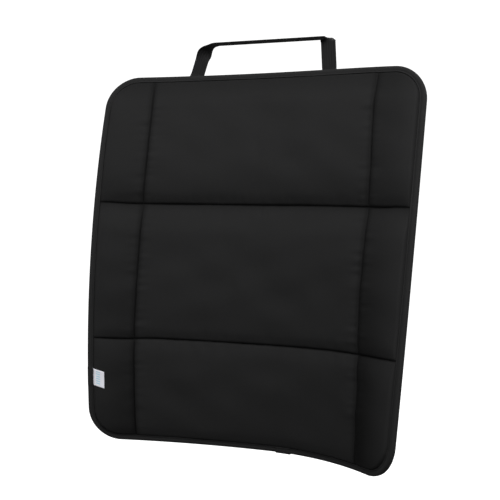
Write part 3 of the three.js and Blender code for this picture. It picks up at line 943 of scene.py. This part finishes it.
def labelMaterial():
    material, tree, shader = newMaterial("wovenLabel")
    flat = addNode(tree, "ShaderNodeUVMap", {}, uv_map="flat")
    place = addNode(tree, "ShaderNodeSeparateXYZ", {0: flat})
    weave = addGroup(tree, weaveGroup,
                     {"Vector": flat, "Threads": labelBars["threads"], "Rib": labelBars["rib"]})
    up = calculate(tree, "SUBTRACT", place.outputs[1], labelBars["firstBar"])
    step = calculate(tree, "FRACT", calculate(tree, "DIVIDE", up, labelBars["barPitch"]))
    barTop = labelBars["barPitches"] * labelBars["barPitch"]
    printed = multiply(tree, *(
        calculate(tree, test, value, limit) for test, value, limit in (
            ("LESS_THAN", step, labelBars["barShare"]),
            ("GREATER_THAN", place.outputs[0], labelBars["left"]),
            ("LESS_THAN", place.outputs[0], labelBars["right"]),
            ("GREATER_THAN", up, 0.0), ("LESS_THAN", up, barTop))))
    feed(tree, shader, {
        "Base Color": twoColours(tree, printed, labelBars["white"], labelBars["blue"]),
        "Normal": addBump(tree, weave, labelBars), "Roughness": labelBars["rough"]})
    return material


def makeLabel():
    start, end = tape["width"] - label["tuck"], tape["width"] + label["width"]
    fold = label["fold"]
    distances = [*np.linspace(start, end - fold, label["columns"]), end - fold / 3, end]
    rows = np.linspace(label["bottom"], label["bottom"] + label["height"], label["rows"])
    distance, level = np.meshgrid(distances, rows)
    beyond = np.clip((distance - tape["width"]) / label["width"], 0, 1)
    s, t = distance - halfWidth, level - label["sag"] * beyond
    lift = label["curl"] * beyond ** 2 * (1 + 0.5 * (level - rows[0]) / label["height"])
    raised = np.maximum(0, settledAt(s.ravel(), t.ravel())[:, 2]).reshape(s.shape)
    under = coverFront(s, t) + raised + seatGap + lift
    rounding = np.where(distance > end - fold / 6, 0.35,
                        np.where(distance > end - fold * 2 / 3, 0.12, 0))
    low = bend(s, t, under + label["thickness"] * rounding)
    high = bend(s, t, under + label["thickness"] * (1 - rounding))
    ids = np.arange(s.size).reshape(s.shape)
    top = gridFaces(ids)
    bottom = top[:, ::-1] + s.size
    rim = np.concatenate([ids[0, :-1], ids[:-1, -1], ids[-1, :0:-1], ids[:0:-1, 0]])
    sides = np.column_stack([rim + s.size, np.roll(rim, -1) + s.size, np.roll(rim, -1), rim])
    points = np.concatenate([high.reshape(-1, 3), low.reshape(-1, 3)])
    flat = np.column_stack([(distance - tape["width"]).ravel(), (level - rows[0]).ravel()])
    faces = [*top.tolist(), *bottom.tolist(), *sides.tolist()]
    return makePiece("sideLabel", points, faces, labelMaterial(), np.concatenate([flat, flat]))


sideLabel = makeLabel()
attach(sideLabel, "root")
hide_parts("side_label")
print("loop and label made")


# Stitches: a tree that lays short arched threads along a path with outward directions
def stitchTree():
    tree = bpy.data.node_groups.new("stitchesAlongPath", "GeometryNodeTree")
    tree.interface.new_socket("Geometry", in_out="OUTPUT", socket_type="NodeSocketGeometry")
    for title, kind in (("Geometry", "Geometry"), ("Stitch Length", "Float"), ("Gap", "Float"),
                        ("Thread", "Float"), ("Arch", "Float"), ("Unevenness", "Float"),
                        ("Seed", "Int"), ("Material", "Material")):
        tree.interface.new_socket(title, in_out="INPUT", socket_type="NodeSocket" + kind)
    given, result = tree.nodes.new("NodeGroupInput"), tree.nodes.new("NodeGroupOutput")
    length, arch = given.outputs["Stitch Length"], given.outputs["Arch"]
    pitch = calculate(tree, "ADD", length, given.outputs["Gap"])
    path = addNode(tree, "GeometryNodeMeshToCurve", {0: given.outputs["Geometry"]})
    spaced = addNode(tree, "GeometryNodeResampleCurve", {"Curve": path, "Length": pitch},
                     mode="LENGTH")
    half = multiply(tree, length, 0.5)
    dip = multiply(tree, given.outputs["Thread"], -0.4)
    ends = [addNode(tree, "ShaderNodeCombineXYZ", {0: x, 2: z})
            for x, z in ((multiply(tree, half, -1.0), dip), (0.0, multiply(tree, arch, 2.0)),
                         (half, dip))]
    arc = addNode(tree, "GeometryNodeCurveQuadraticBezier",
                  {"Resolution": 6, "Start": ends[0], "Middle": ends[1], "End": ends[2]})
    radius = multiply(tree, given.outputs["Thread"], 0.5)
    ring = addNode(tree, "GeometryNodeCurvePrimitiveCircle", {"Resolution": 6, "Radius": radius})
    thread = addNode(tree, "GeometryNodeCurveToMesh",
                     {"Curve": arc, "Profile Curve": ring, "Fill Caps": True})
    tangent = tree.nodes.new("GeometryNodeInputTangent")
    outwards = addNode(tree, "GeometryNodeInputNamedAttribute", {"Name": "outwards"},
                       data_type="FLOAT_VECTOR")
    lying = addNode(tree, "FunctionNodeAlignRotationToVector", {"Vector": tangent}, axis="X")
    facing = addNode(tree, "FunctionNodeAlignRotationToVector",
                     {"Rotation": lying, "Vector": outwards}, axis="Z", pivot_axis="X")
    low = multiply(tree, given.outputs["Unevenness"], -1.0)
    tilt = addNode(tree, "FunctionNodeRandomValue",
                   {"Seed": given.outputs["Seed"], 2: low, 3: given.outputs["Unevenness"]},
                   data_type="FLOAT")
    twist = addNode(tree, "FunctionNodeAxisAngleToRotation",
                    {"Axis": (0, 0, 1), "Angle": tilt.outputs[1]})
    turned = addNode(tree, "FunctionNodeRotateRotation",
                     {"Rotation": facing, "Rotate By": twist}, rotation_space="LOCAL")
    laid = addNode(tree, "GeometryNodeInstanceOnPoints",
                   {"Points": spaced, "Instance": thread, "Rotation": turned})
    real = addNode(tree, "GeometryNodeRealizeInstances", {0: laid})
    dressed = addNode(tree, "GeometryNodeSetMaterial",
                      {"Geometry": real, "Material": given.outputs["Material"]})
    feed(tree, result, {0: dressed})
    return tree


stitches = stitchTree()


def sew(name, runs, sizes, seed):  # runs: (points, outward directions) along each line of stitches
    mesh = bpy.data.meshes.new(name)
    points = np.concatenate([run[0] for run in runs])
    edges, first = [], 0
    for run in runs:
        edges.extend((first + step, first + step + 1) for step in range(len(run[0]) - 1))
        first += len(run[0])
    mesh.from_pydata(points.tolist(), edges, [])
    outwards = mesh.attributes.new("outwards", "FLOAT_VECTOR", "POINT")
    outwards.data.foreach_set("vector", np.concatenate([run[1] for run in runs]).ravel())
    path = addObject(name + "Path", mesh)
    modifier = path.modifiers.new("stitches", "NODES")
    modifier.node_group = stitches
    values = {**sizes, "Seed": seed, "Material": threadMaterial}
    for item in stitches.interface.items_tree:
        if item.in_out == "INPUT" and item.name in values:
            modifier[item.identifier] = values[item.name]
    graph = bpy.context.evaluated_depsgraph_get()
    sewn = bpy.data.meshes.new_from_object(path.evaluated_get(graph))
    bpy.data.objects.remove(path)
    sewn.name = name
    if not sewn.uv_layers:
        sewn.uv_layers.new(name="flat")
    sewn.uv_layers[0].name = "flat"
    sewn.polygons.foreach_set("use_smooth", [True] * len(sewn.polygons))
    piece = addObject(name, sewn)
    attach(piece, "root")
    print(name, len(sewn.polygons), "faces")


seamStitches = {"Stitch Length": 0.0031, "Gap": 0.0006, "Thread": 0.00045, "Arch": 0.00016,
                "Unevenness": 0.05}
seamSewing = {"endGap": 0.0006, "pitch": 0.004, "lift": 0.0001}


def seamRuns(face):
    ends, pitch = tape["width"] + seamSewing["endGap"], seamSewing["pitch"]
    across = np.arange(-halfWidth + ends, halfWidth - ends, pitch)
    upward = np.arange(ends, matHeight - ends, pitch)
    runs = [(across, np.full(len(across), seam)) for seam in (lowerSeam, upperSeam)]
    runs += [(np.full(len(upward), seam), upward) for seam in uprightSeams]
    depth = face * (stackHalf + seamSewing["lift"])
    return [(bend(s, t, depth), face * frontNormal(s, t)) for s, t in runs]


sew("frontSeamThread", seamRuns(1), seamStitches, 3)
sew("backSeamThread", seamRuns(-1), seamStitches, 4)

tapeSewing = {"steps": 700, "waver": 0.0002, "sink": 0.0003}


def tapeRun(face):
    along = np.linspace(0, rimLength, tapeSewing["steps"])
    s, t = rimPlace(along, tape["groove"] + tapeSewing["waver"] * rimWaver(along, 2.7))
    lift = labelLift(along) * (face > 0) + lapOver(along) * tape["thickness"]
    points = bend(s, t, face * (tapeOutside - tapeSewing["sink"] + lift))
    return points, face * frontNormal(s, t)


tapeStitches = {"Stitch Length": 0.0027, "Gap": 0.0006, "Thread": 0.0004, "Arch": 0.00016,
                "Unevenness": 0.07}
sew("frontTapeThread", [tapeRun(1)], tapeStitches, 5)
sew("backTapeThread", [tapeRun(-1)], tapeStitches, 6)

tailSewing = {"low": 0.0275, "high": 0.013, "inset": 0.0025, "barLow": 0.0045, "barHigh": 0.0075,
              "barRows": 12}


def tailRuns():  # a box with a cross on each sewn end, and a dense bar over the tape
    runs = []
    for side, lean in ((-1, webbing["leftLean"]), (1, webbing["rightLean"])):
        def onSkin(distance, wide):
            point, _, across, front = onTail(side, lean, distance)
            skin = webbing["thickness"] / 2 + webbingSection["crown"]
            return point + across * wide - front * skin, -front

        edge = webbing["width"] / 2 - tailSewing["inset"]
        low, high = tailSewing["low"], tailSewing["high"]
        outlines = [
            [(low, -edge), (low, edge)], [(high, -edge), (high, edge)],
            [(low, -edge), (high, -edge)], [(low, edge), (high, edge)],
            [(low, -edge), (high, edge)], [(low, edge), (high, -edge)],
        ]
        zigzag = [(tailSewing["barLow"] if row % 2 else tailSewing["barHigh"],
                   edge * (2 * row / tailSewing["barRows"] - 1))
                  for row in range(tailSewing["barRows"] + 1)]
        outlines.append(zigzag)
        for outline in outlines:
            places = []
            for (fromDistance, fromWide), (toDistance, toWide) in zip(outline, outline[1:]):
                shares = np.linspace(0, 1, 6)[:-1]
                places.extend((fromDistance + (toDistance - fromDistance) * share,
                               fromWide + (toWide - fromWide) * share) for share in shares)
            places.append(outline[-1])
            found = [onSkin(*place) for place in places]
            runs.append((np.array([point for point, _ in found]),
                         np.array([facing for _, facing in found])))
    return runs


sew("tailThread", tailRuns(), {**tapeStitches, "Stitch Length": 0.0024, "Gap": 0.0004}, 7)


# Stage: white floor and surroundings, dim for all but the camera, and soft lamps
stage = {"floorDrop": 0.20, "floorSize": 30.0, "seenWhite": 1.15, "ambient": 0.224,
         "floorLight": 0.224}
lamps = {  # azimuth from the front towards the right, elevation, distance, width, height, watts
    "keyLamp": (38, 45, 1.8, 1.2, 1.2, 34.4),
    "sideLamp": (-48, 30, 1.3, 0.9, 0.9, 4.2),
    "backLamp": (165, 35, 1.8, 1.3, 1.0, 22.4),
}
lampAim = (0.0, -0.03, -0.27)


def paleMaterial(name, dimmed):  # white to the camera, dim for every other ray
    material, tree, shader = newMaterial(name)
    seen = tree.nodes.new("ShaderNodeLightPath").outputs["Is Camera Ray"]
    feed(tree, shader, {
        "Base Color": (dimmed, dimmed, dimmed, 1), "Specular IOR Level": 0.0,
        "Emission Color": (1, 1, 1, 1),
        "Emission Strength": multiply(tree, seen, stage["seenWhite"])})
    return material


def makeStage():
    half = stage["floorSize"] / 2
    level = cadLow.z - stage["floorDrop"]
    mesh = bpy.data.meshes.new("paleFloor")
    corners = [(-half, -half, level), (half, -half, level), (half, half, level),
               (-half, half, level)]
    mesh.from_pydata(corners, [], [(0, 1, 2, 3)])
    mesh.materials.append(paleMaterial("paleFloor", stage["floorLight"]))
    floor = addObject("paleFloor", mesh)
    world = bpy.data.worlds.new("paleStudio")
    world.use_nodes = True
    tree = world.node_tree
    seen = tree.nodes.new("ShaderNodeLightPath").outputs["Is Camera Ray"]
    strength = addNode(tree, "ShaderNodeMix",
                       {0: seen, 2: stage["ambient"], 3: stage["seenWhite"]})
    feed(tree, tree.nodes["Background"], {0: (1, 1, 1, 1), 1: strength})
    scene.world = world
    for name, (azimuth, elevation, distance, wide, high, watts) in lamps.items():
        data = bpy.data.lights.new(name, "AREA")
        data.shape, data.size, data.size_y, data.energy = "RECTANGLE", wide, high, watts
        around, up = math.radians(azimuth), math.radians(elevation)
        towards = np.array([math.sin(around) * math.cos(up), -math.cos(around) * math.cos(up),
                            math.sin(up)])
        lamp = addObject(name, data)
        lamp.location = np.array(lampAim) + towards * distance
        lamp.rotation_mode = "QUATERNION"
        lamp.rotation_quaternion = Vector(towards).to_track_quat("Z", "Y")


makeStage()
scene.view_settings.view_transform = "Standard"
print("stage lit")
